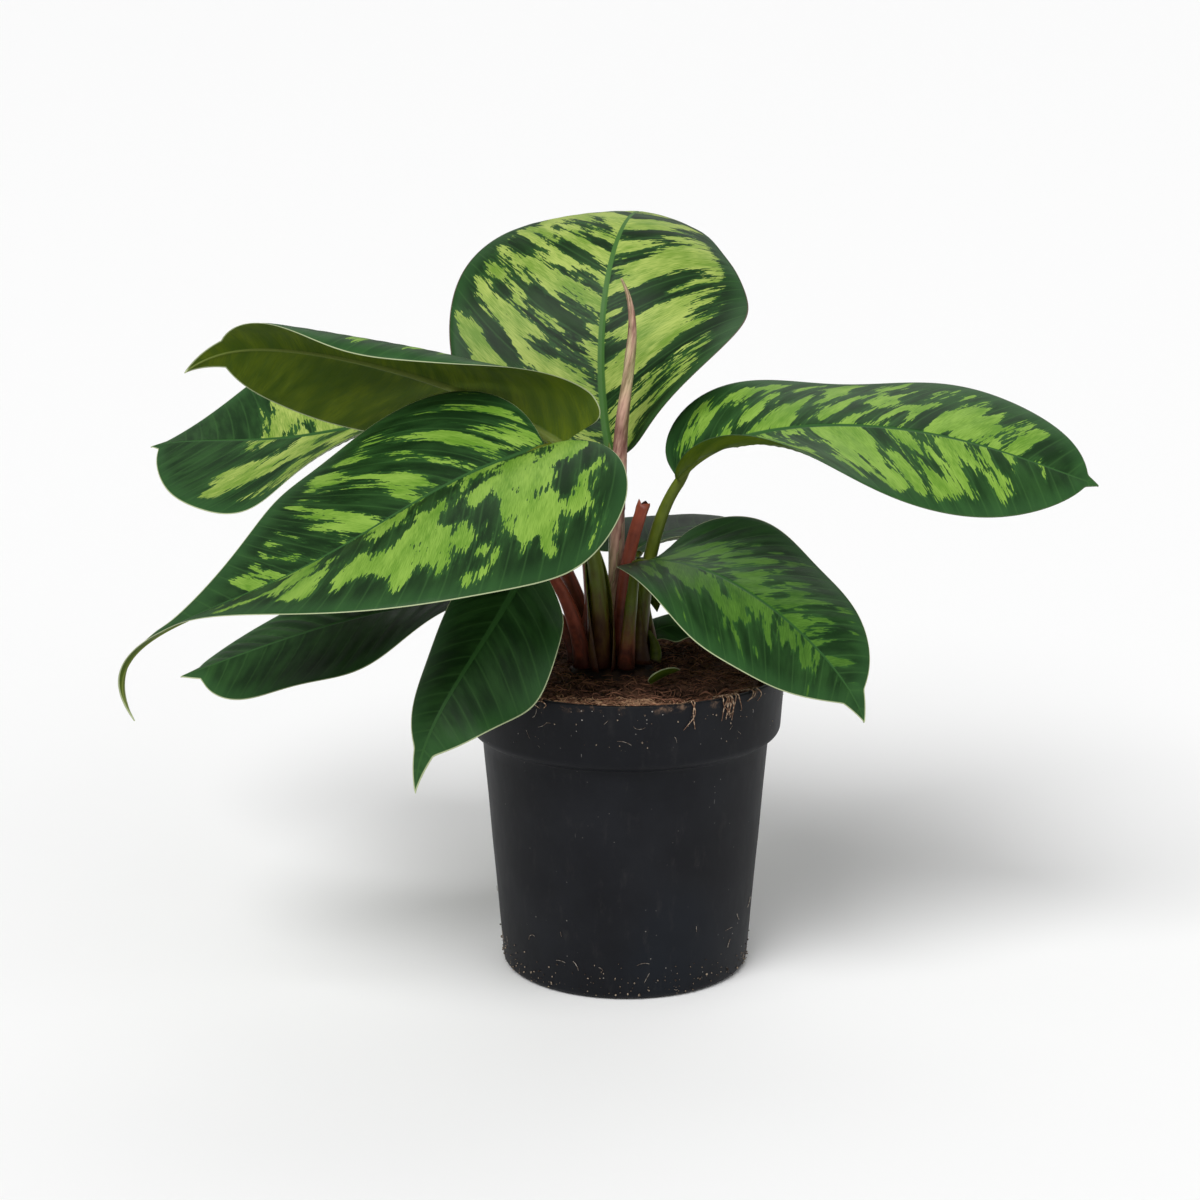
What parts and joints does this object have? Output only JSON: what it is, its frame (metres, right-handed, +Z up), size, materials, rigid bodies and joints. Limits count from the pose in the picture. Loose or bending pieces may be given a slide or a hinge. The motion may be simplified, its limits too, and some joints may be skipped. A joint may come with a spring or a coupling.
{
  "type": "potted foliage plant",
  "caption": "Potted homalomena: broad variegated leaves on upright stalks in a round plastic nursery pot of soil.",
  "frame": {"origin": "centre of the pot's flat underside", "axes": "+Z up out of the soil; the plant's pictured front faces -Y; +X to the right of somebody who looks at that front"},
  "size_m": [0.3668, 0.2437, 0.2768],
  "materials": {
    "pot": "matte",
    "soil": "matte",
    "crown": "matte",
    "leaf_variegated": "satin",
    "leaf_mottled": "satin",
    "leaf_dark": "satin",
    "stalk_green": "satin",
    "stalk_red": "satin",
    "dry_sheath": "matte"
  },
  "bodies": {
    "root": {"pot": "pot", "soil": "soil", "crown": "crown", "leaf_back": "leaf_variegated", "leaf_rear_left": "leaf_variegated", "leaf_front_left": "leaf_variegated", "leaf_upper_left": "leaf_variegated", "leaf_right": "leaf_variegated", "leaf_lower_right": "leaf_mottled", "leaf_rear_right": "leaf_dark", "leaf_rear": "leaf_dark", "leaf_lower_left": "leaf_dark", "leaf_front_low": "leaf_dark", "leaf_small_back": "leaf_dark", "soil_leaf": "leaf_dark", "stalk_back": "stalk_green", "stalk_upper_left": "stalk_green", "stalk_rear_left": "stalk_green", "stalk_front_left": "stalk_green", "stalk_right": "stalk_green", "stalk_lower_right": "stalk_green", "stalk_rear_right": "stalk_green", "stalk_rear": "stalk_green", "stalk_lower_left": "stalk_green", "stalk_small_back": "stalk_green", "sheath_small": "stalk_green", "stalk_front_low": "stalk_red", "sheath_right": "stalk_red", "rolled_spear": "dry_sheath"}
  },
  "joints": []
}
